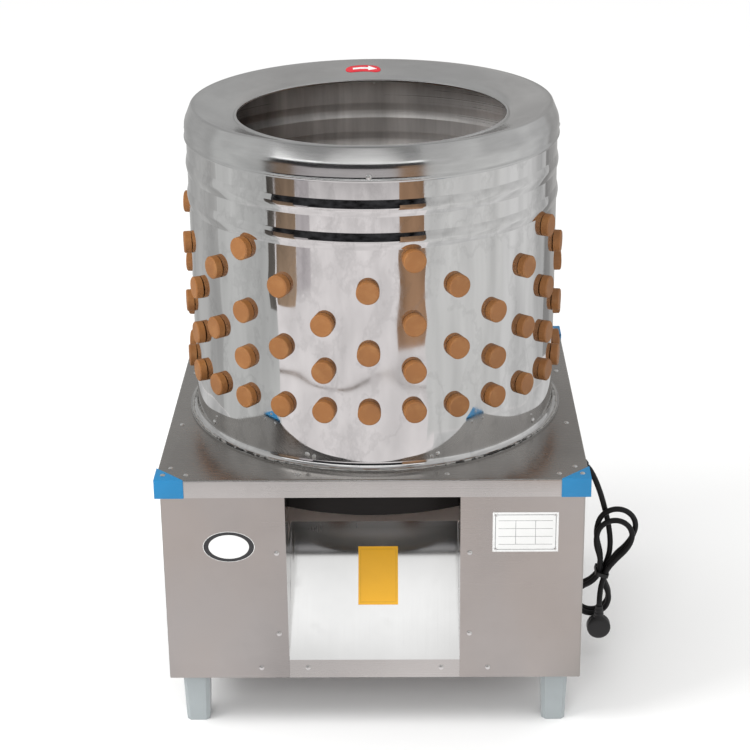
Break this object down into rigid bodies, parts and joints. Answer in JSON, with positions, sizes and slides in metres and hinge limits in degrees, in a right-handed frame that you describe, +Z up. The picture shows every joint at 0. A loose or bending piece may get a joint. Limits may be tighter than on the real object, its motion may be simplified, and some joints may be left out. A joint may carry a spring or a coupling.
{
  "type": "drum poultry plucker",
  "caption": "Drum poultry plucker: steel drum of rubber fingers over a belt-driven turning disc, on a square cabinet with a feather chute, on feet.",
  "frame": {"origin": "on the floor, under the drum's axis, at the middle of the feet", "axes": "+Z up along the drum's axis, -Y towards the side with the feather chute, +X to the right seen from the front"},
  "size_m": [0.6578, 0.565, 0.805],
  "materials": {
    "drum_steel": "near mirror, with fine vertical brushing",
    "rim_steel": "satin, spun round the opening",
    "collar_steel": "satin sheet",
    "chute_steel": "bright sheet",
    "panel_steel": "satin sheet, fine brushing",
    "plate_steel": "satin sheet",
    "frame_steel": "plain mill finish",
    "fastener_steel": "bright",
    "plate_aluminium": "satin, blank",
    "shaft_steel": "ground",
    "cast_parts": "grey casting",
    "motor_paint": "satin blue-grey paint",
    "cap_blue": "satin blue",
    "foot_plastic": "pale grey-blue, slightly worn",
    "finger_rubber": "orange-brown, matt",
    "belt_rubber": "black, matt",
    "black_plastic": "black",
    "cord_sheath": "black, satin",
    "green_plastic": "green",
    "red_plastic": "red",
    "white_print": "white",
    "yellow_print": "yellow, blank"
  },
  "bodies": {
    "machine": {"drum_shell": "drum_steel", "rim_cover": "rim_steel", "drum_collar": "collar_steel", "feather_pan": "collar_steel", "chute_walls": "collar_steel", "chute_floor": "chute_steel", "left_shell": "panel_steel", "right_shell": "panel_steel", "rear_panel": "panel_steel", "top_plate": "plate_steel", "frame_posts": "frame_steel", "lower_rails": "frame_steel", "upper_rails": "frame_steel", "cross_beams": "frame_steel", "top_plate_rivets": "fastener_steel", "panel_screws": "fastener_steel", "rating_rivets": "fastener_steel", "drum_screws": "fastener_steel", "housing_bolts": "fastener_steel", "motor_bolts": "fastener_steel", "rating_plate": "plate_aluminium", "bearings": "shaft_steel", "bearing_housing": "cast_parts", "motor_body": "motor_paint", "motor_fan_cover": "motor_paint", "motor_bracket": "motor_paint", "corner_caps": "cap_blue", "feet": "foot_plastic", "drum_fingers_row_1": "finger_rubber", "drum_fingers_row_2": "finger_rubber", "drum_fingers_row_3": "finger_rubber", "drum_fingers_row_4": "finger_rubber", "drum_fingers_row_5": "finger_rubber", "drum_fingers_row_6": "finger_rubber", "v_belt": "belt_rubber", "terminal_box": "black_plastic", "switch_box": "black_plastic", "cord_gland": "black_plastic", "plug": "black_plastic", "cord_tie": "black_plastic", "cord_lead": "cord_sheath", "cord_hank": "cord_sheath", "arrow_plate": "red_plastic", "arrow_mark": "white_print", "oval_badge": "white_print", "blank_label": "yellow_print"},
    "turntable": {"turntable_disc": "collar_steel", "disc_fingers": "finger_rubber", "hub": "cast_parts", "hub_bolts": "fastener_steel", "sweepers": "collar_steel", "main_shaft": "shaft_steel", "shaft_nut": "fastener_steel", "driven_pulley": "cast_parts"},
    "motor_rotor": {"motor_shaft": "shaft_steel", "motor_pulley": "cast_parts", "motor_fan": "black_plastic"},
    "start_push": {"start_button": "green_plastic"},
    "stop_push": {"stop_button": "red_plastic"}
  },
  "joints": [
    {"name": "disc_spin", "type": "hinge", "parent": "machine", "child": "turntable", "pos_m": [0, 0, 0.33], "axis": [0, 0, 1], "continuous": true},
    {"name": "motor_spin", "type": "hinge", "parent": "machine", "child": "motor_rotor", "pos_m": [-0.16, 0.165, 0.1], "axis": [0, 0, 1], "continuous": true},
    {"name": "start_press", "type": "slide", "parent": "machine", "child": "start_push", "axis": [-1, 0, 0], "range_m": [0, 0.003], "stiffness_N_per_m": 300},
    {"name": "stop_press", "type": "slide", "parent": "machine", "child": "stop_push", "axis": [-1, 0, 0], "range_m": [0, 0.003], "stiffness_N_per_m": 300}
  ],
  "couplings": [
    {"joint": "motor_spin", "follows": "disc_spin", "ratio": 4.1724}
  ]
}
